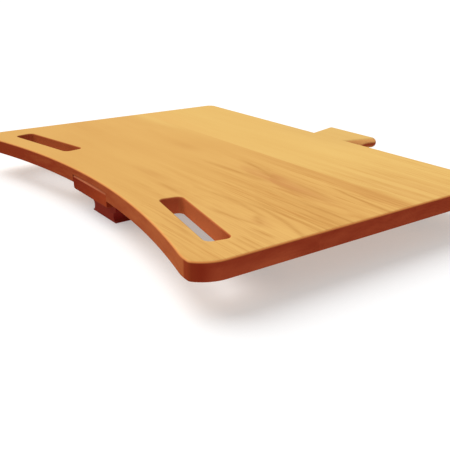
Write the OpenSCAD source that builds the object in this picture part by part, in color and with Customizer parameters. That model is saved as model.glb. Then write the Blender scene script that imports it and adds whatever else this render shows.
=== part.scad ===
// Wooden desk tray that lies on the handlebars of an exercise bike.
// Three edge-glued planks form the panel, and the rear one has a tab. A rail runs
// in a groove under the panel and sets how far the tray reaches; two hand knobs
// clamp it. A block under the front of the rail stops against the bar.
// +X is the user's right, +Y points away from the user, +Z is up.
// The origin is the middle of the footprint, at the underside of the block.

/* [Panel] */
// Width of the panel, left to right
panel_w = 608; // [560:1:660]
// Depth of the panel on its centre line
panel_d = 389; // [384:1:396]
// Thickness of the planks and of the rail
stock_t = 20; // [18:0.5:22]
// Radius of the concave edge that faces the user
edge_r = 1016; // [950:1:1400]
// Radius of the two corners next to the user
front_corner_r = 24; // [16:1:30]
// Radius of the two rear corners
rear_corner_r = 12.5; // [6:0.5:20]
// Width of the rear plank
rear_plank_w = 148; // [142:1:152]
// Width of the middle plank
middle_plank_w = 140; // [120:1:150]

/* [Hand slots] */
// Length of a hand slot
slot_l = 135; // [110:1:145]
// Width of a hand slot
slot_w = 27; // [22:1:30]
// Corner radius of a hand slot
slot_r = 7; // [4:0.5:10]
// Distance of a hand slot's middle from the centre line
slot_x = 197; // [185:1:205]
// Distance of a hand slot's middle behind the deepest point of the concave edge
slot_y = 25; // [22:1:30]
// Angle by which a hand slot follows the concave edge
slot_angle = 11; // [8:0.5:13]

/* [Tab] */
// Width of the tab behind the panel, across its rear corners
tab_w = 103; // [98:1:110]
// Length of the tab behind the panel
tab_l = 70; // [64:1:76]
// Amount by which each side of the tab flares, over 24 of its length
tab_flare = 7; // [0:1:8]
// Distance of the tab's top below the panel's top
tab_step = 4.5; // [2:0.5:6]

/* [Rail] */
// Width of the rail
rail_w = 96; // [80:1:110]
// Length of the rail
rail_l = 290; // [286:1:294]
// Depth of the groove that the rail runs in
let_in = 10.5; // [8:0.5:11]
// Radius of the rail's two rear corners
rail_end_r = 6; // [3:1:10]
// Radius along the lower edges of the rail
rail_edge_r = 4; // [2:0.5:6]
// Distance that the rail slides
travel = 60; // [50:1:64]

/* [Block] */
// Width of the stop block
block_w = 68; // [64:1:76]
// Depth of the stop block
block_d = 45; // [38:1:50]
// Height of the stop block
block_h = 27; // [24:0.5:34]
// Setback of the stop block behind the rail's front end
block_setback = 18; // [10:1:24]
// Radius of the finger grooves along the block's sides
block_groove_r = 7; // [5:0.5:8]

/* [Clamps] */
// Diameter of the studs
stud_d = 6; // [5:1:6]
// Distance of the front clamp behind the deepest point of the concave edge
clamp_front = 158; // [155:1:162]
// Distance of the rear clamp behind the deepest point of the concave edge
clamp_rear = 270; // [264:1:275]
// Outer diameter of a knob
knob_d = 34; // [28:1:38]
// Height of a knob
knob_h = 16; // [14:0.5:18]

/* [Grip strips] */
// Length of a grip strip
strip_l = 160; // [120:1:170]
// Width of a grip strip
strip_w = 25; // [18:1:30]
// Thickness of the rubber
rubber_t = 3; // [2:0.5:4]

/* [Hidden] */

// Centre of a front corner's round, measured from the deepest point of the edge
cf_x = panel_w / 2 - front_corner_r;
cf_dy = sqrt(pow(edge_r + front_corner_r, 2) - pow(cf_x, 2)) - edge_r;
tip_dy = cf_dy - front_corner_r;
total_d = panel_d + tab_l - tip_dy;
y_tip = -total_d / 2;
y_apex = y_tip - tip_dy;
y_back = y_apex + panel_d;
y_end = y_back + tab_l;
y_seam_rear = y_back - rear_plank_w;
y_seam_front = y_seam_rear - middle_plank_w;
cf_y = y_apex + cf_dy;
// Point where a front corner's round meets the concave edge
t2_k = edge_r / (edge_r + front_corner_r);
t2_x = cf_x * t2_k;
t2_y = (y_apex - edge_r) + (cf_y - (y_apex - edge_r)) * t2_k;

// Heights
slide_gap = 0.2;
side_gap = 0.6;
tab_lift = 0.2;
z_rail = block_h;
z_rail_top = z_rail + stock_t;
z_under = z_rail_top + slide_gap - let_in;
z_top = z_under + stock_t;
z_groove = z_under + let_in;

// Clamp hardware
stud_r = stud_d / 2 - 0.05;
insert_r = stud_d / 2 + 1.5;
insert_h = 7;
washer_r = 9;
washer_t = 1.6;
washer_gap = 0.2;
z_washer = z_rail - washer_gap - washer_t;
z_knob = z_washer - knob_h;
y_clamp_front = y_apex + clamp_front;
y_clamp_rear = y_apex + clamp_rear;
rail_front = y_apex - 0.8;
rail_rear = rail_front + rail_l;
y_groove = rail_rear + travel + 3;
block_y0 = rail_front + block_setback;
screw_r = 2.1;
screw_head_r = 4.2;
screw_l = 38;
screw_x = 20;
screw_y = 12;
nip = 0.03;

// Rectangle with four round corners
module round_rect(w, d, r) {
    square([w - 2 * r, d], center = true);
    square([w, d - 2 * r], center = true);
    for (sx = [-1, 1], sy = [-1, 1])
        translate([sx * (w / 2 - r), sy * (d / 2 - r)]) circle(r = r, $fn = 64);
}

// What is taken off a rear corner to round it
module rear_corner_cut() {
    difference() {
        translate([panel_w / 2 - rear_corner_r, y_back - rear_corner_r, z_under - 1])
            cube([rear_corner_r + 1, rear_corner_r + 1, stock_t + 2]);
        translate([panel_w / 2 - rear_corner_r, y_back - rear_corner_r, z_under - 2])
            cylinder(r = rear_corner_r, h = stock_t + 4, $fn = 96);
    }
}

// What is taken off a front corner to round it into the concave edge
module front_corner_cut() {
    difference() {
        translate([0, 0, z_under - 1]) linear_extrude(stock_t + 2)
            polygon([[cf_x, cf_y], [panel_w / 2 + 5, cf_y], [panel_w / 2 + 5, y_tip - 5],
                [t2_x, y_tip - 5], [t2_x, t2_y]]);
        translate([cf_x, cf_y, z_under - 2])
            cylinder(r = front_corner_r, h = stock_t + 4, $fn = 96);
    }
}

// Groove for the rail, open at the front and stopped before the rear edge
module rail_groove() {
    translate([-rail_w / 2 - side_gap, y_tip - 5, z_under - 1])
        cube([rail_w + 2 * side_gap, y_groove - y_tip + 5, let_in + 1]);
}

// Section of a round edge, which meets the flat faces at a slight angle
module edge_section(r, half) {
    intersection() {
        circle(r = r, $fn = 96);
        translate([0, -half]) square([r + 1, 2 * half]);
    }
}

// Flared tab with round edges along its three free sides, just above the underside
module tab() {
    half = (stock_t - tab_step - tab_lift) / 2;
    r = half + 0.2;
    hx = tab_w / 2 - r;
    ym = y_end - r;
    root = ym - y_back + 12;
    hb = hx - root * tab_flare / 24;
    angle = atan(tab_flare / 24);
    translate([0, ym, z_under + tab_lift + half]) union() {
        translate([0, 0, -half]) linear_extrude(2 * half)
            polygon([[-hx, 0], [-hb, -root], [hb, -root], [hx, 0]]);
        translate([-hx, 0, 0]) rotate([90, 0, 90]) linear_extrude(2 * hx) edge_section(r, half);
        for (s = [0, 1]) mirror([s, 0, 0]) translate([hx, 0, 0]) union() {
            rotate([0, 0, -angle]) rotate([90, 0, 0]) linear_extrude(root / cos(angle)) edge_section(r, half);
            intersection() {
                rotate_extrude($fn = 96) edge_section(r, half);
                translate([0, 0, -half - 1]) linear_extrude(2 * half + 2)
                    polygon([[0, 0], [2 * r * cos(angle), -2 * r * sin(angle)], [2 * r, 2 * r], [0, 2 * r]]);
            }
        }
    }
}

// Blind hole for a threaded insert, in the groove's floor
module insert_hole(y) {
    translate([0, y, z_groove - 1]) cylinder(r = insert_r + nip, h = insert_h + 1 + nip, $fn = 64);
}

// Part of the panel between two depths, with its share of the groove
module plank(y0, y1) {
    difference() {
        translate([-panel_w / 2, y0, z_under]) cube([panel_w, y1 - y0, stock_t]);
        rail_groove();
    }
}

module front_plank() {
    color([0.89, 0.68, 0.39]) difference() {
        plank(y_tip, y_seam_front);
        translate([0, y_apex - edge_r, z_under - 1]) cylinder(r = edge_r, h = stock_t + 2, $fn = 720);
        front_corner_cut();
        mirror([1, 0, 0]) front_corner_cut();
        for (s = [-1, 1])
            translate([s * slot_x, y_apex + slot_y, z_under - 1]) rotate([0, 0, -s * slot_angle])
                linear_extrude(stock_t + 2) round_rect(slot_l, slot_w, slot_r);
    }
}

module middle_plank() {
    color([0.88, 0.66, 0.37]) difference() {
        plank(y_seam_front, y_seam_rear);
        insert_hole(y_clamp_front);
    }
}

module rear_plank() {
    color([0.92, 0.74, 0.44]) difference() {
        union() {
            plank(y_seam_rear, y_back);
            tab();
        }
        rear_corner_cut();
        mirror([1, 0, 0]) rear_corner_cut();
        insert_hole(y_clamp_rear);
    }
}

// Threaded insert: a short sleeve with a lead-in at its mouth
module insert(y) {
    color([0.78, 0.62, 0.28]) translate([0, y, z_groove]) difference() {
        cylinder(r = insert_r, h = insert_h, $fn = 64);
        translate([0, 0, -1]) cylinder(r = stud_d / 2, h = insert_h + 2, $fn = 64);
        translate([0, 0, -0.01])
            cylinder(r1 = stud_d / 2 + 0.8, r2 = stud_d / 2, h = 0.81, $fn = 64);
    }
}
module front_insert() { insert(y_clamp_front); }
module rear_insert() { insert(y_clamp_rear); }

// Rubber strip under the panel, across the run of the bars
module grip_strip(x, y) {
    color([0.12, 0.12, 0.13]) translate([x, y, z_under - rubber_t]) linear_extrude(rubber_t)
        round_rect(strip_l, strip_w, 5);
}
module front_left_grip_strip() { grip_strip(-190, y_apex + 77); }
module front_right_grip_strip() { grip_strip(190, y_apex + 77); }
module rear_left_grip_strip() { grip_strip(-190, y_back - 60); }
module rear_right_grip_strip() { grip_strip(190, y_back - 60); }

// Rail seen from its end: square on top, round along the lower edges
module rail_section() {
    union() {
        translate([-rail_w / 2, rail_edge_r]) square([rail_w, stock_t - rail_edge_r]);
        translate([-rail_w / 2 + rail_edge_r, 0]) square([rail_w - 2 * rail_edge_r, stock_t]);
        for (s = [-1, 1]) translate([s * (rail_w / 2 - rail_edge_r), rail_edge_r])
            circle(r = rail_edge_r, $fn = 64);
    }
}

// Long slot that lets the rail slide past a stud
module clamp_slot(y) {
    translate([0, 0, z_rail - 1]) linear_extrude(stock_t + 2) union() {
        translate([-stud_d / 2 - 0.6, y - travel]) square([stud_d + 1.2, travel]);
        translate([0, y]) circle(r = stud_d / 2 + 0.6, $fn = 64);
        translate([0, y - travel]) circle(r = stud_d / 2 + 0.6, $fn = 64);
    }
}

// Round rear corner of the rail, taken off one side
module rail_corner_cut() {
    difference() {
        translate([rail_w / 2 - rail_end_r, rail_rear - rail_end_r, z_rail - 1])
            cube([rail_end_r + 1, rail_end_r + 1, stock_t + 2]);
        translate([rail_w / 2 - rail_end_r, rail_rear - rail_end_r, z_rail - 2])
            cylinder(r = rail_end_r, h = stock_t + 4, $fn = 96);
    }
}

module slide_rail() {
    color([0.62, 0.30, 0.16]) difference() {
        translate([0, rail_rear, z_rail]) rotate([90, 0, 0]) linear_extrude(rail_l) rail_section();
        rail_corner_cut();
        mirror([1, 0, 0]) rail_corner_cut();
        clamp_slot(y_clamp_front);
        clamp_slot(y_clamp_rear);
        screw_places() screw_body(nip);
    }
}

// The four places of the block's screws
module screw_places() {
    for (sx = [-1, 1], sy = [-1, 1])
        translate([sx * screw_x, block_y0 + block_d / 2 + sy * screw_y, 0]) children();
}

// Countersunk wood screw, driven upwards
module screw_body(g) {
    union() {
        translate([0, 0, 0.5]) cylinder(r = screw_r + g, h = screw_l - 5, $fn = 48);
        translate([0, 0, screw_l - 4.5]) cylinder(r1 = screw_r + g, r2 = 0.3 + g, h = 5 + g, $fn = 48);
        translate([0, 0, 0.5]) cylinder(r1 = screw_head_r + g, r2 = screw_r + g, h = 2.4 + g, $fn = 48);
    }
}

// Block seen from its end: a finger groove low on each side, with a short lip below it
module block_section() {
    difference() {
        translate([-block_w / 2, 0]) square([block_w, block_h]);
        for (s = [-1, 1]) {
            translate([s * block_w / 2, block_groove_r + 1]) circle(r = block_groove_r, $fn = 96);
            translate([s * (block_w / 2 + 3) - 5, -1]) square([10, 3]);
        }
    }
}

module stop_block() {
    color([0.52, 0.22, 0.12]) difference() {
        translate([0, block_y0 + block_d, 0]) rotate([90, 0, 0]) linear_extrude(block_d) block_section();
        screw_places() {
            screw_body(nip);
            translate([0, 0, -1]) cylinder(r = screw_head_r + nip, h = 1.5, $fn = 48);
        }
    }
}

module block_screws() {
    color([0.66, 0.66, 0.68]) screw_places() difference() {
        screw_body(0);
        translate([-2.4, -0.45, 0.4]) cube([4.8, 0.9, 1.5]);
        translate([-0.45, -2.4, 0.4]) cube([0.9, 4.8, 1.5]);
    }
}

// Rubber facing on the rear of the block
module block_pad() {
    color([0.12, 0.12, 0.13]) translate([0, block_y0 + block_d, block_h / 2 + 0.5]) rotate([-90, 0, 0])
        linear_extrude(rubber_t) round_rect(block_w - 18, block_h - 7, 3);
}

// Rubber facing under the tab
module tab_pad() {
    color([0.12, 0.12, 0.13]) translate([0, y_back + 36, z_under + tab_lift - rubber_t]) linear_extrude(rubber_t)
        round_rect(52, 36, 6);
}

// Hand knob: a fluted head under a round neck
module knob(y) {
    color([0.10, 0.10, 0.11]) translate([0, y, z_knob]) difference() {
        union() {
            cylinder(r = knob_d / 2, h = knob_h - 5, $fn = 96);
            translate([0, 0, 2]) cylinder(r = washer_r, h = knob_h - 2, $fn = 64);
        }
        for (i = [0:5]) rotate([0, 0, 30 + i * 60]) translate([knob_d / 2 + 2.5, 0, -1])
            cylinder(r = 5.5, h = knob_h + 2, $fn = 48);
        translate([0, 0, knob_h - 10]) cylinder(r = stud_r + nip, h = 11, $fn = 64);
    }
}
module front_knob() { knob(y_clamp_front); }
module rear_knob() { knob(y_clamp_rear); }

// Stud from inside the knob up into the insert
module stud(y) {
    color([0.66, 0.66, 0.68]) translate([0, y, z_knob + knob_h - 10 + nip])
        cylinder(r = stud_r, h = z_groove + insert_h - 1 - (z_knob + knob_h - 10 + nip), $fn = 64);
}
module front_stud() { stud(y_clamp_front); }
module rear_stud() { stud(y_clamp_rear); }

// Flat washer between a knob and the rail
module washer(y) {
    color([0.70, 0.70, 0.72]) translate([0, y, z_washer]) difference() {
        cylinder(r = washer_r, h = washer_t, $fn = 64);
        translate([0, 0, -1]) cylinder(r = stud_d / 2 + 0.2, h = washer_t + 2, $fn = 64);
    }
}
module front_washer() { washer(y_clamp_front); }
module rear_washer() { washer(y_clamp_rear); }

front_plank();
middle_plank();
rear_plank();
front_insert();
rear_insert();
front_left_grip_strip();
front_right_grip_strip();
rear_left_grip_strip();
rear_right_grip_strip();
slide_rail();
stop_block();
block_screws();
block_pad();
tab_pad();
front_knob();
front_stud();
front_washer();
rear_knob();
rear_stud();
rear_washer();
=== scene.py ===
import math

import bmesh
import bpy
from mathutils import Matrix, Vector
from mathutils.geometry import tessellate_polygon


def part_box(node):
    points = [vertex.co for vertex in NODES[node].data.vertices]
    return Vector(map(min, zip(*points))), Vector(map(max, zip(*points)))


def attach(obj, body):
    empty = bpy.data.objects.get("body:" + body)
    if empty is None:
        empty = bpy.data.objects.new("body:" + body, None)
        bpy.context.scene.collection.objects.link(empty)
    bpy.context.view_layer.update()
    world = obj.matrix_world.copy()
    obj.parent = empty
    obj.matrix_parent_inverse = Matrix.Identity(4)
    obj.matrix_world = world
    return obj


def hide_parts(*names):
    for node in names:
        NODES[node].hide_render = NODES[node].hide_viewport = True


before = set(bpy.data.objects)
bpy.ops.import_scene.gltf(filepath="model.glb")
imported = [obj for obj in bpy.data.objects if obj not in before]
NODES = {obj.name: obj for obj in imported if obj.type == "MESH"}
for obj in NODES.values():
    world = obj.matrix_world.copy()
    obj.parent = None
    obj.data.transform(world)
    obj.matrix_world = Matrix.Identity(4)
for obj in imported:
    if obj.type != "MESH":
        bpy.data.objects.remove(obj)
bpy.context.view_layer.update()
MM = 0.001

# ---------------------------------------------------------------------------
# Sizes that the frame gives
# ---------------------------------------------------------------------------
plank_lo, plank_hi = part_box("front_plank")
rear_lo, rear_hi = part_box("rear_plank")
rail_lo, rail_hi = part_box("slide_rail")
block_lo, block_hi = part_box("stop_block")

HALF_W = plank_hi.x
Z_UNDER, Z_TOP = plank_lo.z, plank_hi.z
Y_SEAM_F, Y_SEAM_R = plank_hi.y, rear_lo.y
Y_TIP, Y_BACK, Y_END = plank_lo.y, Y_SEAM_R + 0.148, rear_hi.y
EDGE_R = 1.016                      # radius of the concave edge
CORNER_F, CORNER_R = 0.024, 0.0125  # corner radii of the CAD, next to the user and at the rear
CF_X = HALF_W - CORNER_F
CF_Y = Y_TIP + CORNER_F
Y_APEX = CF_Y - math.sqrt((EDGE_R + CORNER_F) ** 2 - CF_X ** 2) + EDGE_R
SLOT = dict(l=0.135, w=0.027, r=0.007, x=0.197, y=Y_APEX + 0.025, a=11.0)
TAB_HALF, TAB_STEP, TAB_FLARE = 0.0515, 0.0045, math.degrees(math.atan2(7, 24))
TRAVEL = 0.060
GROOVE_HALF = rail_hi.x + 0.0003
Z_GROOVE = rail_hi.z + 0.0002
Y_GROOVE = rail_hi.y + TRAVEL + 0.003


# ---------------------------------------------------------------------------
# Mesh tools
# ---------------------------------------------------------------------------
def arc(cx, cy, r, a0, a1, n, sign=1.0):
    """Points of an arc with the outward normal of the material at each."""
    out = []
    for i in range(n + 1):
        a = math.radians(a0 + (a1 - a0) * i / n)
        c, s = math.cos(a), math.sin(a)
        out.append((cx + r * c, cy + r * s, sign * c, sign * s))
    return out


def clean(loop, eps=1e-6):
    out = []
    for p in loop:
        if not out or math.hypot(p[0] - out[-1][0], p[1] - out[-1][1]) > eps:
            out.append(p)
    if math.hypot(out[0][0] - out[-1][0], out[0][1] - out[-1][1]) <= eps:
        out.pop()
    return out


def round_rect(cx, cy, w, d, radii, turn=0.0, n=10, hole=False):
    """Rounded rectangle, counter-clockwise. radii: right-rear, left-rear, left-front, right-front."""
    hw, hd = w / 2, d / 2
    if not isinstance(radii, (tuple, list)):
        radii = (radii,) * 4
    corners = [(hw, hd, 0), (-hw, hd, 90), (-hw, -hd, 180), (hw, -hd, 270)]
    pts = []
    for (x, y, a), r in zip(corners, radii):
        pts += arc(x - math.copysign(r, x), y - math.copysign(r, y), r, a, a + 90, n)
    t = math.radians(turn)
    c, s = math.cos(t), math.sin(t)
    sg = -1.0 if hole else 1.0
    return clean([(cx + x * c - y * s, cy + x * s + y * c, sg * (nx * c - ny * s), sg * (nx * s + ny * c))
                  for x, y, nx, ny in pts])


def disc(cx, cy, r, n=40, hole=True):
    sg = -1.0 if hole else 1.0
    return clean(arc(cx, cy, r, 0, 360, n, sg))


def plate(name, outer, holes, z0, z1, rt, rb, seg=6, hole_rt=None, hole_rb=None):
    """Closed slab between two heights, with round edges rt on top and rb below."""
    bm = bmesh.new()

    def rings(loop, rt, rb):
        levels = []
        if rt > 0:
            for k in range(seg + 1):
                a = math.pi / 2 * (1 - k / seg)
                levels.append((rt * (1 - math.cos(a)), z1 - rt * (1 - math.sin(a))))
        else:
            levels.append((0.0, z1))
        if rb > 0:
            for k in range(seg + 1):
                a = math.pi / 2 * k / seg
                levels.append((rb * (1 - math.cos(a)), z0 + rb * (1 - math.sin(a))))
        else:
            levels.append((0.0, z0))
        made = [[bm.verts.new((x - nx * d, y - ny * d, z)) for x, y, nx, ny in loop] for d, z in levels]
        for upper, lower in zip(made, made[1:]):
            for i in range(len(loop)):
                j = (i + 1) % len(loop)
                bm.faces.new((upper[i], lower[i], lower[j], upper[j]))
        return made[0], made[-1]

    tops, bottoms = [], []
    for i, loop in enumerate([outer] + list(holes)):
        t, b = rings(loop, rt if i == 0 or hole_rt is None else hole_rt, rb if i == 0 or hole_rb is None else hole_rb)
        tops.append(t)
        bottoms.append(b)
    for loops in (tops, bottoms):
        flat = [v for loop in loops for v in loop]
        for tri in tessellate_polygon([[v.co.copy() for v in loop] for loop in loops]):
            try:
                bm.faces.new([flat[i] for i in tri])
            except ValueError:
                pass
    bmesh.ops.recalc_face_normals(bm, faces=bm.faces[:])
    return as_object(name, bm)


def as_object(name, bm):
    me = bpy.data.meshes.new(name)
    bm.to_mesh(me)
    bm.free()
    ob = bpy.data.objects.new(name, me)
    bpy.context.scene.collection.objects.link(ob)
    return ob


def box_object(name, lo, hi):
    bm = bmesh.new()
    bmesh.ops.create_cube(bm, size=1.0)
    for v in bm.verts:
        v.co = Vector([l + (h - l) * (c + 0.5) for l, h, c in zip(lo, hi, v.co)])
    return as_object(name, bm)


def apply_modifiers(ob):
    bpy.context.view_layer.update()
    dg = bpy.context.evaluated_depsgraph_get()
    me = bpy.data.meshes.new_from_object(ob.evaluated_get(dg))
    ob.modifiers.clear()
    old = ob.data
    ob.data = me
    bpy.data.meshes.remove(old)


def cut(ob, *cutters, how="DIFFERENCE"):
    for c in cutters:
        m = ob.modifiers.new("cut", "BOOLEAN")
        m.operation, m.solver, m.object = how, "EXACT", c
        apply_modifiers(ob)
    for c in cutters:
        me = c.data
        bpy.data.objects.remove(c)
        bpy.data.meshes.remove(me)


def smooth(ob, angle=38.0, weighted=True):
    me = ob.data
    for p in me.polygons:
        p.use_smooth = True
    me.set_sharp_from_angle(angle=math.radians(angle))
    if weighted:
        m = ob.modifiers.new("weighted", "WEIGHTED_NORMAL")
        m.mode, m.weight, m.keep_sharp = "FACE_AREA", 50, True


def slab_between(name, source, y0, y1):
    """The part of a mesh between two depths, closed at each cut."""
    bm = bmesh.new()
    bm.from_mesh(source.data)
    for y, no, inside in ((y0, -1, True), (y1, 1, True)):
        if y is None:
            continue
        bmesh.ops.bisect_plane(bm, geom=bm.verts[:] + bm.edges[:] + bm.faces[:], dist=1e-7,
                               plane_co=(0, y, 0), plane_no=(0, no, 0), clear_outer=True)
        rim = [e for e in bm.edges if e.is_boundary]
        bmesh.ops.holes_fill(bm, edges=rim, sides=0)
    bmesh.ops.recalc_face_normals(bm, faces=bm.faces[:])
    return as_object(name, bm)


# ---------------------------------------------------------------------------
# Shader tools
# ---------------------------------------------------------------------------
class Graph:
    def __init__(self, name):
        self.mat = bpy.data.materials.new(name)
        self.mat.use_nodes = True
        self.nt = self.mat.node_tree
        self.nt.nodes.clear()
        self.out = self.node("ShaderNodeOutputMaterial")
        self.bsdf = self.node("ShaderNodeBsdfPrincipled")
        self.nt.links.new(self.bsdf.outputs[0], self.out.inputs["Surface"])
        self._coord = None

    def node(self, kind, **props):
        n = self.nt.nodes.new(kind)
        for k, v in props.items():
            setattr(n, k, v)
        return n

    def put(self, socket, value):
        if isinstance(value, bpy.types.NodeSocket):
            self.nt.links.new(value, socket)
        elif value is not None:
            socket.default_value = value

    def coord(self, what="Object"):
        if self._coord is None:
            self._coord = self.node("ShaderNodeTexCoord")
        return self._coord.outputs[what]

    def math(self, op, a, b=None, c=None, clamp=False):
        n = self.node("ShaderNodeMath", operation=op, use_clamp=clamp)
        for s, v in zip(n.inputs, (a, b, c)):
            self.put(s, v)
        return n.outputs[0]

    def vec(self, op, a, b=None, scale=None):
        n = self.node("ShaderNodeVectorMath", operation=op)
        self.put(n.inputs[0], a)
        self.put(n.inputs[1], b)
        if scale is not None:
            self.put(n.inputs["Scale"], scale)
        return n.outputs["Value"] if op in ("LENGTH", "DOT_PRODUCT", "DISTANCE") else n.outputs[0]

    def split(self, v):
        n = self.node("ShaderNodeSeparateXYZ")
        self.put(n.inputs[0], v)
        return n.outputs[0], n.outputs[1], n.outputs[2]

    def join(self, x, y, z):
        n = self.node("ShaderNodeCombineXYZ")
        for s, v in zip(n.inputs, (x, y, z)):
            self.put(s, v)
        return n.outputs[0]

    def noise(self, vector, scale=1.0, detail=2.0, rough=0.5, distort=0.0):
        n = self.node("ShaderNodeTexNoise", noise_dimensions="3D")
        self.put(n.inputs["Vector"], vector)
        self.put(n.inputs["Scale"], scale)
        self.put(n.inputs["Detail"], detail)
        self.put(n.inputs["Roughness"], rough)
        self.put(n.inputs["Distortion"], distort)
        return n.outputs[0]

    def white(self, w):
        n = self.node("ShaderNodeTexWhiteNoise", noise_dimensions="1D")
        self.put(n.inputs["W"], w)
        return n.outputs["Value"]

    def step(self, v, lo, hi, a=0.0, b=1.0, kind="SMOOTHSTEP"):
        n = self.node("ShaderNodeMapRange", interpolation_type=kind, clamp=True)
        for s, x in zip(n.inputs, (v, lo, hi, a, b)):
            self.put(s, x)
        return n.outputs[0]

    def mix(self, f, a, b, blend="MIX"):
        n = self.node("ShaderNodeMix", data_type="RGBA", blend_type=blend, clamp_factor=True)
        self.put(n.inputs[0], f)
        for s, v in ((n.inputs[6], a), (n.inputs[7], b)):
            self.put(s, (*v, 1.0) if isinstance(v, tuple) and len(v) == 3 else v)
        return n.outputs[2]

    def bump(self, height, strength, distance, normal=None):
        n = self.node("ShaderNodeBump")
        self.put(n.inputs["Strength"], strength)
        self.put(n.inputs["Distance"], distance)
        self.put(n.inputs["Height"], height)
        self.put(n.inputs["Normal"], normal)
        return n.outputs[0]

    def set(self, **sockets):
        for k, v in sockets.items():
            s = self.bsdf.inputs[k.replace("_", " ")]
            self.put(s, (*v, 1.0) if isinstance(v, tuple) and len(v) == 3 and s.type == "RGBA" else v)
        return self.mat


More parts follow.
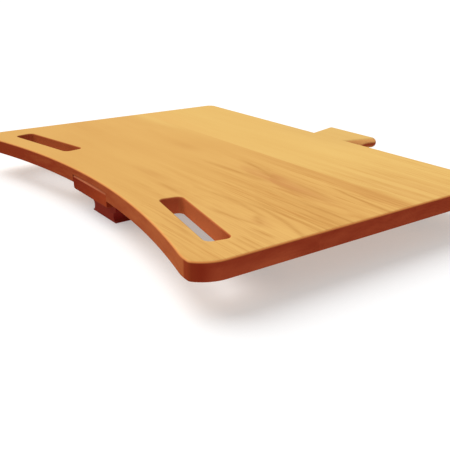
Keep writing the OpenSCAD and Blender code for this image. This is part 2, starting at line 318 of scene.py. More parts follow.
def wood(name, along, centre, pith, taper, spacing, seed, light, dark, side, side_dark, under, under_dark,
         streaks=(), ring=0.50, shade=0.30, fade=(-260.0, 60.0, 0.35), crest=(0.62, 0.985), ends=0.30, lean=0.0,
         rim=None, wrap=None, pocket=None, eyes=(), fine=0.0, veins=(), cross=0.0,
         soft_rim=None, flank=0.0, pale_low=None):
    """Ring-porous hardwood cut from a log: growth rings about a pith line, pores in the early wood, edges painted
    darker as painted shade.
    Lengths are in millimetres. along is the grain's axis, pith its offset across and through the board, fade where the
    figure gets stronger along the grain, crest the slope at which the face's finish ends at an edge, ends how much
    darker the end grain is, lean how much painted shade darkens the edges towards the low end of the grain, rim the
    tint of a painted highlight on a round top edge, wrap the place across the board beyond which the face's finish runs
    on over the round edge, further out painted dark on the tab's side as painted shade and tinted amber as painted
    light, with the top a little darker about the tab's base, pocket the middle and angle of the two openings, whose
    walls are painted lighter as painted light, eyes swellings in the log that the rings run around, fine the strength
    of thin dark lines at the high end of the grain, veins the dark growth lines of the figure, each a curve through
    three points with its width and strength, cross how much darker the edges get towards the low side of the board,
    soft_rim the tint of the painted light where the face rolls over an edge, flank how much darker the long edges are
    than the ends as painted shade, pale_low where on the ends, over what length and how much lighter the lower half is."""
    g = Graph(name)
    p = g.vec("SUBTRACT", g.vec("SCALE", g.coord(), scale=1000.0), centre)
    x, y, z = g.split(p)
    a, b, c = (x, y, z) if along == "X" else (y, x, z)

    def field(la, lb, lc, k, detail=2.0, rough=0.5, distort=0.0):
        v = g.join(g.math("MULTIPLY_ADD", a, 1.0 / la, seed * 7.31 + k * 3.7),
                   g.math("MULTIPLY_ADD", b, 1.0 / lb, seed * 2.17 + k * 5.9),
                   g.math("MULTIPLY_ADD", c, 1.0 / lc, seed * 4.43 + k * 1.3))
        return g.noise(v, 1.0, detail, rough, distort)

    # Growth rings
    sway = g.math("SUBTRACT", field(330, 160, 160, 1, 1.0), 0.5)
    wave = g.math("SUBTRACT", field(95, 26, 40, 2, 2.0), 0.5)
    db = g.math("MULTIPLY_ADD", sway, 46.0, g.math("SUBTRACT", b, pith[0]))
    dc = g.math("SUBTRACT", c, pith[1])
    rho = g.math("SQRT", g.math("ADD", g.math("MULTIPLY", db, db), g.math("MULTIPLY", dc, dc)))
    rho = g.math("ADD", g.math("MULTIPLY_ADD", a, taper, rho), g.math("MULTIPLY", wave, 6.0))
    for ex, ey, lx, ly, height in eyes:
        u = g.math("DIVIDE", g.math("SUBTRACT", a, ex), lx)
        v = g.math("DIVIDE", g.math("MULTIPLY_ADD", wave, 9.0, g.math("SUBTRACT", b, ey)), ly)
        q = g.math("ADD", g.math("MULTIPLY", u, u), g.math("MULTIPLY", v, v))
        rho = g.math("MULTIPLY_ADD", g.math("POWER", 2.718, g.math("MULTIPLY", q, -1.0)), height, rho)
    t = g.math("DIVIDE", rho, spacing)
    t = g.math("ADD", t, g.math("MULTIPLY", g.math("SUBTRACT", field(900, 40, 40, 3, 1.0), 0.5), 1.6))
    phase = g.math("FRACT", t)
    tone = g.white(g.math("ADD", g.math("FLOOR", t), seed * 13.7))
    early = g.math("MULTIPLY", g.step(phase, 0.0, 0.16), g.step(phase, 0.16, 0.80, 1.0, 0.0))
    early = g.math("MULTIPLY", early, g.math("MULTIPLY_ADD", tone, 0.85, 0.15))
    broken = g.step(field(62, 5.5, 9, 8, 2.0, 0.55), 0.36, 0.64)
    early = g.math("MULTIPLY", early, g.math("MULTIPLY_ADD", broken, 0.80, 0.20))

    # Pores, fibres, slow streaks and drifts of colour along the board
    pores = g.step(field(15, 0.95, 0.95, 4, 2.0, 0.6), 0.54, 0.70)
    pores = g.math("MULTIPLY", pores, g.math("MULTIPLY_ADD", early, 0.80, 0.20))
    fibre = g.math("SUBTRACT", field(34, 0.9, 0.9, 5, 3.0, 0.65), 0.5)
    band = g.math("SUBTRACT", field(380, 8, 12, 6, 2.5, 0.6), 0.5)
    drift = g.math("SUBTRACT", field(240, 46, 60, 7, 2.0), 0.5)

    figure = g.math("MULTIPLY", early, ring)
    figure = g.math("MULTIPLY_ADD", pores, 0.42, figure)
    figure = g.math("MULTIPLY_ADD", fibre, 0.34, figure)
    figure = g.math("MULTIPLY_ADD", band, 1.05, figure)
    figure = g.math("MULTIPLY", figure, g.step(a, fade[0], fade[1], fade[2], 1.0))
    if fine:
        lines = g.step(field(64, 1.7, 3, 10, 2.0, 0.6), 0.50, 0.64)
        lines = g.math("MULTIPLY", lines, g.step(field(420, 13, 20, 11, 1.0), 0.42, 0.56))
        figure = g.math("MULTIPLY_ADD", lines, g.step(a, 60.0, 230.0, 0.0, fine), figure)
    vein = 0.0
    feather = g.math("MULTIPLY_ADD", g.step(field(30, 1.2, 3, 12, 3.0, 0.6), 0.36, 0.64), 0.75, 0.45)
    ragged = g.math("MULTIPLY_ADD", fibre, 5.0, g.math("MULTIPLY", wave, 4.0))
    for (a1, b1), (am, bm), (a2, b2), width, amount in veins:
        bow = ((b1 - bm) / (a1 - am) - (b2 - bm) / (a2 - am)) / (a1 - a2)
        slope = (b1 - bm) / (a1 - am) - bow * (a1 - am)
        u = g.math("SUBTRACT", a, am)
        run = g.math("MULTIPLY", u, g.math("MULTIPLY_ADD", u, bow, slope))
        off = g.math("ADD", ragged, g.math("SUBTRACT", g.math("SUBTRACT", b, bm), run))
        q = g.math("DIVIDE", off, 1.3 * width)
        line = g.math("POWER", 2.718, g.math("MULTIPLY", g.math("MULTIPLY", q, q), -1.0))
        soft = 0.35 * (a2 - a1)
        line = g.math("MULTIPLY", line, g.step(a, a1 - 4.0, a1 + soft, 0.0, amount))
        if a2 < 300.0:
            line = g.math("MULTIPLY", line, g.step(a, a2 - soft, a2 + 4.0, 1.0, 0.0))
        vein = g.math("ADD", vein, line)
    mark = g.math("ADD", g.math("MULTIPLY_ADD", drift, 0.55, figure), shade, clamp=True)
    face = g.mix(mark, light, dark)
    for sx, sy, lx, ly, tint, amount in streaks:
        u = g.math("DIVIDE", g.math("SUBTRACT", a, sx), lx)
        v = g.math("DIVIDE", g.math("MULTIPLY_ADD", wave, 16.0, g.math("SUBTRACT", b, sy)), ly)
        q = g.math("ADD", g.math("MULTIPLY", u, u), g.math("MULTIPLY", v, v))
        q = g.math("MULTIPLY", g.math("POWER", 2.718, g.math("MULTIPLY", q, -1.0)), amount)
        q = g.math("MULTIPLY", q, g.math("MULTIPLY_ADD", band, 1.6, g.math("MULTIPLY_ADD", early, 0.6, 0.75)), clamp=True)
        face = g.mix(q, face, tint)

    if veins:
        face = g.mix(g.math("MULTIPLY", g.math("MULTIPLY", vein, 1.06), feather, clamp=True), face, dark)
        face = g.mix(g.math("MULTIPLY", vein, 0.30, clamp=True), face, OLIVE, "MULTIPLY")

    # Edges are painted darker and redder than the faces, as painted shade of the sides; the end grain is darker still
    nx, ny, nz = g.split(g.coord("Normal"))
    na = nx if along == "X" else ny
    rolled = 0.8
    # The slot walls are painted lighter than the other edges, as painted light in the slots, and darker towards their
    # outer ends
    if pocket is not None:
        px, py, pa, light_in, dark_in = pocket
        u, v = g.math("SUBTRACT", g.math("ABSOLUTE", a), px), g.math("SUBTRACT", b, py)
        ca, sa = math.cos(math.radians(pa)), math.sin(math.radians(pa))
        pu = g.math("SUBTRACT", g.math("MULTIPLY", u, ca), g.math("MULTIPLY", v, sa))
        pv = g.math("ADD", g.math("MULTIPLY", u, sa), g.math("MULTIPLY", v, ca))
        inside = g.math("MULTIPLY", g.step(g.math("ABSOLUTE", pu), 70.0, 72.0, 1.0, 0.0),
                        g.step(g.math("ABSOLUTE", pv), 15.0, 17.0, 1.0, 0.0))
        rolled = g.math("MULTIPLY_ADD", inside, -0.6, 0.8)
    # Painted light: the face's colour turns warmer and lighter where it rolls over an edge
    if soft_rim is not None:
        at_end = g.step(g.math("ABSOLUTE", na), 0.24, 0.50)
        tint = g.mix(at_end, soft_rim, tuple(m * k for m, k in zip((1.06, 0.97, 1.0), soft_rim)))
        face = g.mix(g.math("MULTIPLY", g.step(nz, 0.60, 0.97, 1.0, 0.0), rolled), face, tint)
    end = g.step(g.math("ABSOLUTE", na), 0.45, 0.95)
    up = g.step(nz, crest[0], crest[1])
    # Tab: near its base the face's colour runs on over the round edge, further out the side turns dark as painted
    # shade, and an amber tint on the round is painted light; the top is a little darker about the tab's base
    if wrap is not None:
        over = g.step(b, wrap - 2.0, wrap + 4.0)
        low = g.math("ADD", nz, g.step(b, wrap + 22.0, wrap + 54.0, 0.85, 0.0))
        up = g.math("MAXIMUM", up, g.math("MULTIPLY", over, g.step(low, -0.05, 0.50)))
        near = g.math("MULTIPLY", g.step(g.math("ABSOLUTE", a), 45.0, 130.0, 1.0, 0.0), g.step(b, wrap - 70.0, wrap + 12.0))
        face = g.mix(near, face, (0.955, 0.955, 0.985), "MULTIPLY")
        amber_lit = g.math("MULTIPLY", over, g.step(b, wrap + 12.0, wrap + 46.0))
        face = g.mix(g.math("MULTIPLY", amber_lit, g.step(nz, 0.50, 0.98, 1.0, 0.0)), face, AMBER_LIGHT)
    down = g.step(g.math("MULTIPLY", nz, -1.0), 0.30, 0.92)
    cloud = g.math("SUBTRACT", field(34, 30, 9, 9, 3.0, 0.55), 0.5)
    smark = g.math("MULTIPLY_ADD", early, 0.14, g.math("MULTIPLY", pores, 0.16))
    smark = g.math("MULTIPLY_ADD", cloud, 0.85, smark)
    smark = g.math("MULTIPLY_ADD", fibre, 0.26, smark)
    # Painted shade: the long edges darken towards the low end of the grain, where they face away from the key light
    if lean:
        smark = g.math("MULTIPLY_ADD", g.step(a, -250.0, 250.0, lean, 0.0, "LINEAR"), g.math("SUBTRACT", 1.0, end), smark)
    # Painted shade: the long edges darker than the ends
    if flank:
        smark = g.math("MULTIPLY_ADD", g.math("SUBTRACT", 1.0, end), flank, smark)
    if cross:
        smark = g.math("ADD", smark, g.step(b, -50.0, 40.0, cross, 0.0, "LINEAR"))
    smark = g.math("MULTIPLY_ADD", end, g.step(c, -9.0, 9.0, -0.18, 0.02), smark)
    # The lower half of the ends is lighter about a given place along them
    if pale_low is not None:
        u, v = g.math("DIVIDE", g.math("SUBTRACT", b, pale_low[0]), pale_low[1]), g.step(c, -10.0, 7.0, 1.0, 0.0)
        u = g.math("POWER", 2.718, g.math("MULTIPLY", g.math("MULTIPLY", u, u), -1.0))
        smark = g.math("MULTIPLY_ADD", g.math("MULTIPLY", end, g.math("MULTIPLY", u, v)), -pale_low[2], smark)
    smark = g.math("ADD", g.math("MULTIPLY_ADD", end, ends, smark), 0.28, clamp=True)
    edge = g.mix(smark, side, side_dark)
    # Painted shade on the front corners' round, where the edge turns away from the light
    corner_shade = g.math("MULTIPLY", g.step(a, 278.0, 282.5), g.step(g.math("ABSOLUTE", na), 0.80, 0.99, 0.92, 0.0))
    edge = g.mix(corner_shade, edge, side_dark)
    rosy = 1.0 if flank else end
    if pocket is not None:
        edge = g.mix(inside, edge, g.mix(g.math("ADD", g.math("SUBTRACT", smark, g.math("MULTIPLY", end, ends + 0.60)),
                                           g.step(pu, 25.0, 66.0, 0.0, 0.9)), light_in, dark_in))
        rosy = g.math("MULTIPLY", end, g.math("MULTIPLY_ADD", inside, -0.40, 1.0))
    edge = g.mix(rosy, edge, ROSY, "MULTIPLY")
    # Painted light: the top of the edge below the round-over is lighter and warmer
    if soft_rim is not None:
        tint = g.mix(at_end, tuple(0.80 * k for k in soft_rim), tuple(m * k for m, k in zip((0.92, 0.80, 0.74), soft_rim)))
        edge = g.mix(g.math("MULTIPLY", g.step(nz, 0.12, 0.72, 0.0, 1.25), rolled), edge, tint)
    # Painted highlight: a lighter tint on the round top edge, uneven along it
    if rim is not None:
        rim_highlight = g.math("MULTIPLY", g.step(nz, 0.10, 0.45), g.math("MULTIPLY_ADD", cloud, 0.8, 0.85), clamp=True)
        edge = g.mix(rim_highlight, edge, rim)
    below = g.mix(mark, under, under_dark)
    colour = g.mix(down, g.mix(up, edge, face), below)

    rough = g.math("MULTIPLY_ADD", mark, 0.14, g.math("MULTIPLY_ADD", drift, 0.10, 0.44))
    height = g.math("MULTIPLY_ADD", fibre, 0.45, g.math("MULTIPLY", pores, -1.0))
    g.set(Base_Color=colour, Roughness=rough, Normal=g.bump(height, 0.14, 0.0002))
    g.bsdf.inputs["Specular IOR Level"].default_value = 0.002
    g.bsdf.inputs["IOR"].default_value = 1.42
    return g.mat


def rubber(name):
    g = Graph(name)
    p = g.vec("SCALE", g.coord(), scale=1000.0)
    grain = g.noise(p, 2.4, 4.0, 0.6)
    dust = g.step(g.noise(p, 0.05, 5.0, 0.62), 0.46, 0.74)
    col = g.mix(grain, (0.010, 0.010, 0.011), (0.030, 0.030, 0.032))
    col = g.mix(g.math("MULTIPLY", dust, 0.35), col, (0.085, 0.080, 0.074))
    return g.set(Base_Color=col, Roughness=g.math("MULTIPLY_ADD", grain, 0.2, 0.62),
                 Normal=g.bump(grain, 0.25, 0.0003))


def plastic(name):
    g = Graph(name)
    p = g.vec("SCALE", g.coord(), scale=1000.0)
    spark = g.noise(p, 3.2, 3.0, 0.6)
    wear = g.step(g.noise(p, 0.16, 4.0, 0.6), 0.5, 0.8)
    col = g.mix(spark, (0.008, 0.008, 0.009), (0.022, 0.022, 0.024))
    col = g.mix(g.math("MULTIPLY", wear, 0.35), col, (0.055, 0.055, 0.058))
    return g.set(Base_Color=col, Roughness=g.math("MULTIPLY_ADD", wear, -0.12, g.math("MULTIPLY_ADD", spark, 0.18, 0.36)),
                 Normal=g.bump(spark, 0.3, 0.00025))


def metal(name, low, high, rough):
    g = Graph(name)
    p = g.vec("SCALE", g.coord(), scale=1000.0)
    x, y, z = g.split(p)
    turn = g.noise(g.join(g.math("MULTIPLY", x, 0.6), g.math("MULTIPLY", y, 0.6), g.math("MULTIPLY", z, 9.0)), 1.0, 3.0, 0.6)
    blot = g.noise(p, 0.35, 4.0, 0.6)
    col = g.mix(g.math("MULTIPLY_ADD", turn, 0.5, g.math("MULTIPLY", blot, 0.5)), low, high)
    return g.set(Base_Color=col, Metallic=1.0, Roughness=g.math("MULTIPLY_ADD", blot, 0.22, rough),
                 Normal=g.bump(turn, 0.12, 0.0001))


# ---------------------------------------------------------------------------
# Materials
# ---------------------------------------------------------------------------
GOLD, GOLD_D = (0.7232, 0.4300, 0.1348), (0.5510, 0.2650, 0.0718)
HONEY, HONEY_D = (0.7331, 0.4430, 0.1470), (0.5609, 0.2780, 0.0796)
PALE, PALE_D = (0.7531, 0.4875, 0.1569), (0.6259, 0.3433, 0.0950)
# Side colours of the panel: dark red-brown, painted shade of the vertical faces
EDGE_SHADED, EDGE_SHADED_D = (0.408, 0.112, 0.034), (0.236, 0.033, 0.0105)
# Block colours: dark red-brown all over, painted shade of the block under the panel
BLOCK_SHADED, BLOCK_SHADED_D = (0.262, 0.034, 0.019), (0.155, 0.0155, 0.0115)
# Rail side colours: painted shade of the rail under the panel
RAIL_SIDE_SHADED, RAIL_SIDE_SHADED_D = (0.310, 0.074, 0.0165), (0.190, 0.0300, 0.0085)
# Slot wall colours: lighter than the other edges, painted light
SLOT_WALL_LIT, SLOT_WALL_LIT_D = (0.500, 0.132, 0.045), (0.400, 0.087, 0.026)
# Underside colours: darker than the top, painted shade of the underside
UNDER_SHADED, UNDER_SHADED_D = (0.560, 0.275, 0.080), (0.380, 0.140, 0.036)
RED, TAN, RUST = (0.5762, 0.2750, 0.0880), (0.5910, 0.3050, 0.0902), (0.6008, 0.3050, 0.0924)
# Amber tint: painted light on the tab's round edge
AMBER_LIGHT = (0.980, 0.490, 0.160)
ROSY = (0.97, 0.64, 0.80)
OLIVE = (0.90, 0.97, 1.0)
# Warm tint of the painted light on rounded top edges
RIM_LIGHT_TINT = (0.800, 0.330, 0.100)

mid_f, mid_m, mid_r = (Y_TIP + Y_SEAM_F) / 2, (Y_SEAM_F + Y_SEAM_R) / 2, (Y_SEAM_R + Y_BACK) / 2
mid_z = (Z_UNDER + Z_TOP) / 2
m_front = wood("wood_front_plank", "X", (0, mid_f * 1000, mid_z * 1000), (40.0, -62.0), 0.020, 3.8, 1.0,
               GOLD, GOLD_D, EDGE_SHADED, EDGE_SHADED_D, UNDER_SHADED, UNDER_SHADED_D,
               streaks=((36.0, 38.0, 40.0, 7.0, TAN, 0.6), (250.0, 40.0, 16.0, 8.0, RED, 0.6), (230.0, 6.0, 110.0, 44.0, HONEY, 0.5)),
               ring=0.40, fade=(-30.0, 170.0, 0.10), ends=0.24, soft_rim=RIM_LIGHT_TINT, pale_low=(12.0, 26.0, 0.60), lean=0.80, eyes=((196.0, 37.0, 78.0, 17.0, 8.4),), fine=0.45,
               pocket=(SLOT["x"] * 1000, (SLOT["y"] - mid_f) * 1000, SLOT["a"], SLOT_WALL_LIT, SLOT_WALL_LIT_D),
               veins=(((112, 50), (178, 58.5), (250, 49.5), 2.2, 0.70), ((228, 50), (244, 42), (260, 34), 3.4, 0.55),
                      ((178, 24.5), (218, 27), (262, 35), 2.2, 0.65), ((170, 66.5), (235, 65), (302, 50), 2.2, 0.75),
                      ((72, 25), (98, 24.5), (126, 23.5), 2.4, 0.55), ((256, 21), (270, 22.5), (292, 25.5), 2.2, 0.70),
                      ((50, 3.5), (75, 4.5), (98, 4.5), 1.6, 0.25), ((264, 1.7), (285, 1.7), (304, 1.2), 1.2, 0.65),
                      ((264, -5), (285, -5.5), (304, -5.5), 1.2, 0.60), ((266, -15), (285, -15.5), (304, -16), 1.2, 0.50),
                      ((158, -26), (190, -26.5), (226, -27.5), 1.3, 0.50), ((174, -33), (205, -33.5), (248, -34), 1.3, 0.50),
                      ((198, -36), (245, -36.5), (294, -38), 1.2, 0.40), ((250, 13.7), (280, 13.5), (304, 13.5), 1.4, 0.35)))
m_middle = wood("wood_middle_plank", "X", (0, mid_m * 1000, mid_z * 1000), (4.0, -55.0), 0.024, 3.8, 2.0,
                GOLD, GOLD_D, EDGE_SHADED, EDGE_SHADED_D, UNDER_SHADED, UNDER_SHADED_D,
                streaks=((134.0, 9.0, 50.0, 10.0, RED, 1.20), (182.0, 3.0, 54.0, 11.0, RED, 1.15), (-60.0, 6.0, 34.0, 9.0, TAN, 0.6),
                         (268.0, 58.0, 80.0, 12.0, RUST, 0.70), (150.0, 62.0, 110.0, 8.0, TAN, 0.55),
                         (-290.0, 78.0, 180.0, 34.0, PALE, 0.95)),
                ring=0.40, fade=(-30.0, 170.0, 0.10), ends=0.24, soft_rim=RIM_LIGHT_TINT, eyes=((190.0, 5.0, 90.0, 18.0, 5.6),), fine=0.45,
                veins=(((36, 28), (100, 19), (164, 1), 3.2, 0.85), ((140, 19), (200, 14), (258, 4), 2.6, 0.55),
                       ((150, -4), (205, -3), (258, 4), 2.4, 0.60), ((10, -17), (95, -11.5), (170, -5), 3.0, 0.65),
                       ((198, 40), (245, 34), (304, 30.5), 2.0, 0.90), ((110, -30), (180, -26), (304, -24), 2.0, 0.30),
                       ((212, -26), (255, -25), (304, -24), 2.2, 0.65), ((186, -40), (245, -39), (304, -40), 1.6, 0.80),
                       ((240, -49), (270, -49), (304, -49.5), 1.4, 0.80), ((236, -58), (270, -58), (304, -59.5), 1.3, 0.75),
                       ((174, -65), (215, -66), (304, -67), 1.8, 0.85), ((186, -59), (205, -59), (226, -60), 1.4, 0.70),
                       ((240, 47), (262, 46), (284, 46), 1.8, 0.50), ((205, 67), (250, 65.5), (304, 65), 2.2, 0.40),
                       ((232, 55), (268, 54), (304, 53), 1.5, 0.50), ((222, 61), (264, 60), (304, 59), 1.3, 0.55),
                       ((94, -42), (130, -43), (172, -42), 1.8, 0.25), ((58, -33), (100, -31), (152, -31), 1.8, 0.20)))
m_rear = wood("wood_rear_plank", "X", (0, mid_r * 1000, mid_z * 1000), (-60.0, -95.0), 0.012, 3.8, 3.0,
              PALE, PALE_D, EDGE_SHADED, EDGE_SHADED_D, UNDER_SHADED, UNDER_SHADED_D,
              streaks=((290.0, -40.0, 120.0, 60.0, RED, 0.40), (-290.0, -80.0, 210.0, 40.0, GOLD, 1.0)),
              ring=0.30, shade=0.22, fade=(40.0, 260.0, 0.22), ends=0.24, soft_rim=RIM_LIGHT_TINT, fine=0.50, wrap=(Y_BACK - mid_r) * 1000,
              veins=(((200, -42), (224, -44), (252, -45), 2.2, 0.50), ((274, -43.5), (288, -44), (304, -44), 2.0, 0.40),
                     ((168, -10), (200, -10.5), (238, -11), 3.0, 0.30)))
# The rail's side colours, flank and near-black underside are painted shade under the panel; rim is a painted highlight
# on its round top edge
m_rail = wood("wood_slide_rail", "Y", (0, 0, (rail_lo.z + rail_hi.z) * 500), (-30.0, -70.0), 0.020, 3.4, 4.0,
              PALE, PALE_D, RAIL_SIDE_SHADED, RAIL_SIDE_SHADED_D, (0.200, 0.030, 0.009), (0.130, 0.017, 0.006), ring=0.30, shade=0.20, fade=(-400, -300, 1.0),
              crest=(0.90, 0.998), ends=0.0, rim=(0.455, 0.140, 0.066), cross=0.75, flank=0.9)
m_block = wood("wood_stop_block", "X", (0, (block_lo.y + block_hi.y) * 500, 13.5), (12.0, -48.0), 0.02, 2.8, 5.0,
               BLOCK_SHADED, BLOCK_SHADED_D, BLOCK_SHADED, BLOCK_SHADED_D, BLOCK_SHADED, BLOCK_SHADED_D)
m_rubber = rubber("rubber_grip")
m_plastic = plastic("plastic_knob")
m_steel = metal("steel_plated", (0.42, 0.42, 0.43), (0.66, 0.66, 0.66), 0.24)
m_brass = metal("brass_turned", (0.50, 0.34, 0.10), (0.72, 0.52, 0.20), 0.26)


def finish_piece(ob, material, slot_name, body, *nodes):
    ob.data.materials.clear()
    ob.data.materials.append(material)
    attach(ob, body)
    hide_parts(*nodes)


# ---------------------------------------------------------------------------
# Panel: one outline with round edges, grooved below, sawn at the glue lines
# ---------------------------------------------------------------------------
# Each front corner is a wide round that meets the eased end of the concave edge in a soft arris.
WIDE, ARRIS, EASE_X = 0.040, 0.006, 0.2675
ease = math.asin(EASE_X / EDGE_R)
bend = (Y_APEX - Y_TIP) / (1 - math.cos(ease)) - EDGE_R
knee = EASE_X + bend * math.sin(ease)
wide_x = HALF_W - WIDE
wide_y = Y_TIP + ARRIS + math.sqrt((WIDE - ARRIS) ** 2 - (knee - wide_x) ** 2)
lean = math.degrees(math.asin((knee - wide_x) / (WIDE - ARRIS)))
ease = math.degrees(ease)
outline = []
outline += arc(HALF_W - CORNER_R, Y_BACK - CORNER_R, CORNER_R, 0, 90, 14)
outline += arc(-HALF_W + CORNER_R, Y_BACK - CORNER_R, CORNER_R, 90, 180, 14)
outline += arc(-wide_x, wide_y, WIDE, 180, 270 - lean, 14)
outline += arc(-knee, Y_TIP + ARRIS, ARRIS, 270 - lean, 270, 8)
outline += arc(-knee, Y_TIP + bend, bend, 270, 270 + ease, 8)
outline += arc(0, Y_APEX - EDGE_R, EDGE_R, 90 + ease, 90 - ease, 140, -1.0)
outline += arc(knee, Y_TIP + bend, bend, 270 - ease, 270, 8)
outline += arc(knee, Y_TIP + ARRIS, ARRIS, 270, 270 + lean, 8)
outline += arc(wide_x, wide_y, WIDE, 270 + lean, 360, 14)
outline = clean(outline)
slots = [round_rect(s * SLOT["x"], SLOT["y"], SLOT["l"], SLOT["w"], SLOT["r"], -s * SLOT["a"], 10, hole=True)
         for s in (-1, 1)]
panel = plate("panel", outline, slots, Z_UNDER, Z_TOP, 0.0026, 0.0010, 6, 0.0022, 0.0010)
tab_z = Z_UNDER + 0.0002
tab_t = Z_TOP - TAB_STEP - tab_z
tab_r = tab_t / 2 + 0.0003
hx, y_far, y_near = TAB_HALF - tab_r, Y_END - tab_r, Y_BACK - 0.016
hb = hx - math.tan(math.radians(TAB_FLARE)) * (y_far - y_near)
tab_outline = clean(arc(hx, y_far, tab_r, -TAB_FLARE, 90, 16) + arc(-hx, y_far, tab_r, 90, 180 + TAB_FLARE, 16) +
                    arc(-hb, y_near, tab_r, 180 + TAB_FLARE, 270, 6) + arc(hb, y_near, tab_r, 270, 360 - TAB_FLARE, 6))
tab = plate("tab", tab_outline, [], tab_z, tab_z + tab_t, tab_t / 2 - 0.00001, tab_t / 2 - 0.00001, 12)
cut(panel, tab, how="UNION")
cut(panel, box_object("groove", (-GROOVE_HALF, Y_TIP - 0.02, Z_UNDER - 0.01), (GROOVE_HALF, Y_GROOVE, Z_GROOVE)))
for name, y0, y1, mat, slot_name in (("front_plank", None, Y_SEAM_F, m_front, "panel_wood"),
                                     ("middle_plank", Y_SEAM_F, Y_SEAM_R, m_middle, "panel_wood"),
                                     ("rear_plank", Y_SEAM_R, None, m_rear, "panel_wood_light")):
    ob = slab_between("look_" + name, panel, y0, y1)
    smooth(ob)
    finish_piece(ob, mat, slot_name, "tray", name)
old = panel.data
bpy.data.objects.remove(panel)
bpy.data.meshes.remove(old)

# ---------------------------------------------------------------------------
# Rail with its clamp slots and round-cornered tab, and the block under it
# ---------------------------------------------------------------------------
fs_lo, fs_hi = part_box("front_stud")
rs_lo, rs_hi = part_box("rear_stud")
y_clamps = [(fs_lo.y + fs_hi.y) / 2, (rs_lo.y + rs_hi.y) / 2]
rail_cy, rail_d = (rail_lo.y + rail_hi.y) / 2, rail_hi.y - rail_lo.y
hw, hd = rail_hi.x, rail_d / 2
rail_outline = arc(hw - 0.006, rail_cy + hd - 0.006, 0.006, 0, 90, 12) + arc(-hw + 0.006, rail_cy + hd - 0.006, 0.006, 90, 180, 12)
for sx, a0 in ((-1, 180), (1, 270)):   # small front corners that keep their size under the larger round edges
    rail_outline += [(x, y, sx, -1.0) for x, y, nx, ny in arc(sx * (hw - 0.0008), rail_cy - hd + 0.0008, 0.0008, a0, a0 + 90, 6)]
rail_outline = clean(rail_outline)
clamp_slots = [round_rect(0, y - TRAVEL / 2, 0.0072, TRAVEL + 0.0072, 0.0035999, 0, 12, hole=True) for y in y_clamps]
rail = plate("look_slide_rail", rail_outline, clamp_slots, rail_lo.z, rail_hi.z, 0.0038, 0.0039, 7, 0.0006, 0.0008)
smooth(rail)
finish_piece(rail, m_rail, "rail_wood", "rail", "slide_rail")

# The block's section runs along the rail: a finger groove low on each side, with a short lip below it
G_R, LIP_X, SOFT = 0.007, block_hi.x - 0.002, 0.0006
g_z, top_b, half_b = G_R + 0.001, block_hi.z, block_hi.x
turn_in = math.degrees(math.acos(-0.002 / G_R))
side_pts = arc(LIP_X - SOFT, SOFT, SOFT, -90, 0, 5)
side_pts += [(LIP_X, g_z - math.sqrt(G_R ** 2 - 0.002 ** 2) - 0.00005, 0.85, 0.53)]
side_pts += arc(half_b, g_z, G_R, 360 - turn_in - 3, math.degrees(math.acos(-SOFT / G_R)), 24, -1.0)
side_pts += arc(half_b - SOFT, g_z + G_R + SOFT, SOFT, -90, 0, 5)
side_pts += arc(half_b - SOFT, top_b - SOFT, SOFT, 0, 90, 4)
section = clean(side_pts + [(-x, z, -nx, nz) for x, z, nx, nz in reversed(side_pts)])
block = plate("look_stop_block", section, [], block_lo.y, block_hi.y, 0.0005, 0.0005, 4)
block.data.transform(Matrix(((1, 0, 0, 0), (0, 0, 1, 0), (0, 1, 0, 0), (0, 0, 0, 1))))
block.data.flip_normals()
bc_y = (block_lo.y + block_hi.y) / 2
pits = []
for sx in (-1, 1):
    for sy in (-1, 1):
        bm = bmesh.new()
        bmesh.ops.create_cone(bm, cap_ends=True, segments=48, radius1=0.00425, radius2=0.00425, depth=0.0064)
        bmesh.ops.translate(bm, verts=bm.verts[:], vec=(sx * 0.020, bc_y + sy * 0.012, 0.0))
        pits.append(as_object("pit", bm))
cut(block, *pits)
smooth(block)
finish_piece(block, m_block, "block_wood", "rail", "stop_block")


# ---------------------------------------------------------------------------
# Ribbed rubber facings
# ---------------------------------------------------------------------------
def ribbed(name, size, corner, ribs, depth, place):
    """Rubber strip in its own frame: x along, y across, ribs stand towards -z. place maps it to the frame."""
    l, w, t = size
    rows, cols = ribs * 12, 26
    bm = bmesh.new()

    def inset(y):
        over = abs(y) - (w / 2 - corner)
        return 0.0 if over <= 0 else corner - math.sqrt(max(corner ** 2 - over ** 2, 0.0))

    def grid(z_of):
        made = []
        for i in range(rows + 1):
            y = -w / 2 + w * i / rows
            half = l / 2 - inset(y)
            made.append([bm.verts.new((-half + 2 * half * (0.5 - 0.5 * math.cos(math.pi * j / cols)), y,
                                       z_of(y, (1 - abs(2 * j / cols - 1))))) for j in range(cols + 1)])
        return made

    def rib(y, along):
        edge = min(1.0, (w / 2 - abs(y)) / (0.10 * w))
        ends = min(1.0, along * 9.0)
        wave = 0.5 - 0.5 * math.cos(2 * math.pi * ribs * (y / w + 0.5))
        soft = min(1.0, (w / 2 - abs(y)) / 0.0007) * min(1.0, along * 30.0)
        return -(t - depth) - depth * max(edge, 0) ** 0.3 * ends ** 0.4 * wave ** 0.6 * 0.999 + 0.0006 * (1 - soft)

    lower = grid(rib)
    upper = grid(lambda y, k: 0.0)
    for i in range(rows):
        for j in range(cols):
            bm.faces.new((lower[i][j], lower[i + 1][j], lower[i + 1][j + 1], lower[i][j + 1]))
            bm.faces.new((upper[i][j], upper[i][j + 1], upper[i + 1][j + 1], upper[i + 1][j]))
    ring = [(0, j) for j in range(cols)] + [(i, cols) for i in range(rows)] + \
           [(rows, j) for j in range(cols, 0, -1)] + [(i, 0) for i in range(rows, 0, -1)]
    for (i, j), (k, m) in zip(ring, ring[1:] + ring[:1]):
        bm.faces.new((lower[i][j], lower[k][m], upper[k][m], upper[i][j]))
    bmesh.ops.recalc_face_normals(bm, faces=bm.faces[:])
    bmesh.ops.transform(bm, matrix=place, verts=bm.verts[:])
    ob = as_object(name, bm)
    smooth(ob, 50.0, weighted=False)
    return ob


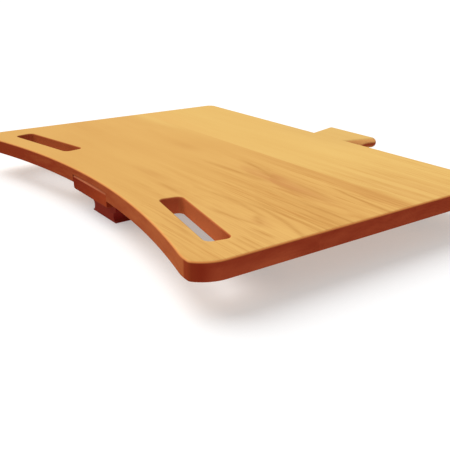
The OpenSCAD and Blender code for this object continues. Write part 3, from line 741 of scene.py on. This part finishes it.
for node, ribs in (("front_left_grip_strip", 6), ("front_right_grip_strip", 6),
                   ("rear_left_grip_strip", 6), ("rear_right_grip_strip", 6)):
    lo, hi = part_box(node)
    c = (lo + hi) / 2
    ob = ribbed("look_" + node, (hi.x - lo.x, hi.y - lo.y, hi.z - lo.z), 0.005, ribs, 0.0011,
                Matrix.Translation((c.x, c.y, hi.z)))
    finish_piece(ob, m_rubber, "rubber", "tray", node)
lo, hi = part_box("tab_pad")
c = (lo + hi) / 2
ob = ribbed("look_tab_pad", (hi.x - lo.x, hi.y - lo.y, hi.z - lo.z), 0.006, 9, 0.0011, Matrix.Translation((c.x, c.y, hi.z)))
finish_piece(ob, m_rubber, "rubber", "tray", "tab_pad")
lo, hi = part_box("block_pad")
c = (lo + hi) / 2
ob = ribbed("look_block_pad", (hi.x - lo.x, hi.z - lo.z, hi.y - lo.y), 0.003, 5, 0.0011,
            Matrix.Translation((c.x, lo.y, c.z)) @ Matrix(((1, 0, 0, 0), (0, 0, -1, 0), (0, 1, 0, 0), (0, 0, 0, 1))))
finish_piece(ob, m_rubber, "rubber", "rail", "block_pad")


# ---------------------------------------------------------------------------
# Clamps: fluted knobs, threaded studs, washers
# ---------------------------------------------------------------------------
def lathe(name, profile, radius_of=lambda a, r, k: r, n=72, place=(0, 0, 0)):
    """Closed body of revolution from (radius, height, flute) points, from the lower axis point to the upper one."""
    bm = bmesh.new()
    rows = []
    for r, z, k in profile:
        if r <= 1e-9:
            rows.append([bm.verts.new((place[0], place[1], place[2] + z))])
        else:
            row = []
            for i in range(n):
                a = 2 * math.pi * i / n
                q = radius_of(a, r, k)
                row.append(bm.verts.new((place[0] + q * math.cos(a), place[1] + q * math.sin(a), place[2] + z)))
            rows.append(row)
    for low, high in zip(rows, rows[1:]):
        for i in range(n):
            j = (i + 1) % n
            if len(low) == 1:
                bm.faces.new((low[0], high[j], high[i]))
            elif len(high) == 1:
                bm.faces.new((low[i], low[j], high[0]))
            else:
                bm.faces.new((low[i], low[j], high[j], high[i]))
    bmesh.ops.recalc_face_normals(bm, faces=bm.faces[:])
    return as_object(name, bm)


def fluted(a, r, k):
    """Radius with six scallops, of depth k times the head's own."""
    w = 0.5 + 0.5 * math.cos(6 * (a - math.radians(30)))
    return r - k * 0.0030 * w ** 1.6


for end, y in zip(("front", "rear"), y_clamps):
    lo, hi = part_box(end + "_knob")
    h = hi.z - lo.z
    R = hi.x
    e = 0.0024
    prof = [(0, 0.0011, 0), (R * 0.42, 0.0011, 0), (R * 0.47, 0.0009, 0), (R * 0.52, 0.0003, 0), (R * 0.58, 0.0, 0.1)]
    for k in range(0, 7):
        t = math.pi / 2 * k / 6
        prof.append((R - e + e * math.sin(t), e - e * math.cos(t), 0.75 + 0.25 * k / 6))
    prof += [(R, h - 0.005 - 0.003, 1.0)]
    for k in range(1, 7):
        t = math.pi / 2 * k / 6
        prof.append((R - e + e * math.cos(t), h - 0.005 - 0.003 + 0.0028 * math.sin(t), 1.0 - 0.25 * k / 6))
    prof += [(0.0105, h - 0.0047, 0.15), (0.0094, h - 0.0040, 0), (0.0089, h - 0.0025, 0), (0.0089, h - 0.0003, 0),
             (0.0086, h, 0), (0.00300, h, 0), (0.00298, h - 0.0098, 0), (0, h - 0.0098, 0)]
    knob = lathe(f"look_{end}_knob", prof, fluted, 144, (0, y, lo.z))
    smooth(knob, 42.0, weighted=False)
    finish_piece(knob, m_plastic, "knob_plastic", f"{end}_clamp", f"{end}_knob")

    # Stud: a rolled thread of 1 mm pitch with a chamfered tip
    lo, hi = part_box(end + "_stud")
    L, r0, n, per = hi.z - lo.z, hi.x, 28, 8
    bm = bmesh.new()
    rows = []
    steps = int(L / MM * per)
    for s in range(steps + 1):
        z = L * s / steps
        fade = min(1.0, (L - z) / 0.0014)
        row = []
        for i in range(n):
            ph = (z / MM - i / n) % 1.0
            ridge = 1 - abs(2 * ph - 1)
            row.append(bm.verts.new(((r0 - 0.00052 * (1 - ridge) - 0.0007 * (1 - fade)) * math.cos(2 * math.pi * i / n),
                                     y + (r0 - 0.00052 * (1 - ridge) - 0.0007 * (1 - fade)) * math.sin(2 * math.pi * i / n),
                                     lo.z + z)))
        rows.append(row)
    for low, high in zip(rows, rows[1:]):
        for i in range(n):
            j = (i + 1) % n
            bm.faces.new((low[i], low[j], high[j], high[i]))
    bm.faces.new(rows[0][::-1])
    bm.faces.new(rows[-1])
    bmesh.ops.recalc_face_normals(bm, faces=bm.faces[:])
    stud = as_object(f"look_{end}_stud", bm)
    smooth(stud, 60.0, weighted=False)
    finish_piece(stud, m_steel, "steel", f"{end}_clamp", f"{end}_stud")

    # Washer with rolled edges
    lo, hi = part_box(end + "_washer")
    t, R, b, e = hi.z - lo.z, hi.x, 0.0032, 0.0004
    ring = [(b + e, 0), (R - e, 0), (R, e), (R, t - e), (R - e, t), (b + e, t), (b, t - e), (b, e)]
    bm = bmesh.new()
    n = 72
    rows = [[bm.verts.new((r * math.cos(2 * math.pi * i / n), y + r * math.sin(2 * math.pi * i / n), lo.z + z))
             for i in range(n)] for r, z in ring]
    for low, high in zip(rows, rows[1:] + rows[:1]):
        for i in range(n):
            j = (i + 1) % n
            bm.faces.new((low[i], low[j], high[j], high[i]))
    bmesh.ops.recalc_face_normals(bm, faces=bm.faces[:])
    washer = as_object(f"look_{end}_washer", bm)
    smooth(washer, 30.0, weighted=False)
    finish_piece(washer, m_steel, "steel", f"{end}_clamp", f"{end}_washer")

# Pieces whose CAD shape is right keep it
for node, mat in (("front_insert", m_brass), ("rear_insert", m_brass), ("block_screws", m_steel)):
    ob = NODES[node]
    ob.data.materials.clear()
    ob.data.materials.append(mat)

# ---------------------------------------------------------------------------
# Floor, light and camera
# ---------------------------------------------------------------------------
bm = bmesh.new()
bmesh.ops.create_grid(bm, x_segments=1, y_segments=1, size=60.0)
bmesh.ops.translate(bm, verts=bm.verts[:], vec=(0, 0, -0.0002))
floor = as_object("floor", bm)
g = Graph("floor_paint")
cloud = g.noise(g.coord(), 0.8, 3.0, 0.5)
g.set(Base_Color=g.mix(cloud, (0.62, 0.62, 0.62), (0.64, 0.64, 0.64)), Roughness=0.9)
g.bsdf.inputs["Specular IOR Level"].default_value = 0.0
g.bsdf.inputs["Emission Color"].default_value = (1.0, 1.0, 1.0, 1.0)
g.bsdf.inputs["Emission Strength"].default_value = 0.36
floor.data.materials.append(g.mat)

world = bpy.data.worlds.new("studio")
world.use_nodes = True
world.node_tree.nodes["Background"].inputs["Color"].default_value = (1.0, 1.0, 1.0, 1.0)
world.node_tree.nodes["Background"].inputs["Strength"].default_value = 0.42
seen = world.node_tree.nodes.new("ShaderNodeLightPath")
glow = world.node_tree.nodes.new("ShaderNodeMath")
glow.operation = "MULTIPLY_ADD"
glow.inputs[1].default_value, glow.inputs[2].default_value = 0.60, 0.42
world.node_tree.links.new(seen.outputs["Is Camera Ray"], glow.inputs[0])
world.node_tree.links.new(glow.outputs[0], world.node_tree.nodes["Background"].inputs["Strength"])
bpy.context.scene.world = world


def sun(name, direction, strength, angle, colour=(1, 1, 1)):
    data = bpy.data.lights.new(name, "SUN")
    data.energy, data.angle, data.color = strength, math.radians(angle), colour
    ob = bpy.data.objects.new(name, data)
    ob.rotation_mode = "QUATERNION"
    ob.rotation_quaternion = Vector(direction).to_track_quat("-Z", "Y")
    bpy.context.scene.collection.objects.link(ob)


sun("key", (0.52, 0.26, -0.81), 2.95, 60)

cam_data = bpy.data.cameras.new("camera")
cam_data.sensor_fit, cam_data.sensor_width, cam_data.lens = "HORIZONTAL", 36.0, 52.885
cam_data.clip_start, cam_data.clip_end = 0.01, 200.0
cam = bpy.data.objects.new("camera", cam_data)
right = Vector((0.57812, 0.81595, 0.00125))
upward = Vector((-0.28964, 0.20378, 0.93519))
back = Vector((0.76282, -0.54101, 0.35414))
turn = Matrix((right, upward, back)).transposed().to_4x4()
cam.matrix_world = Matrix.Translation((0.7322, Y_APEX - 0.31415, 0.2306 + Z_TOP)) @ turn
bpy.context.scene.collection.objects.link(cam)
bpy.context.scene.camera = cam
bpy.context.scene.view_settings.view_transform = "Standard"
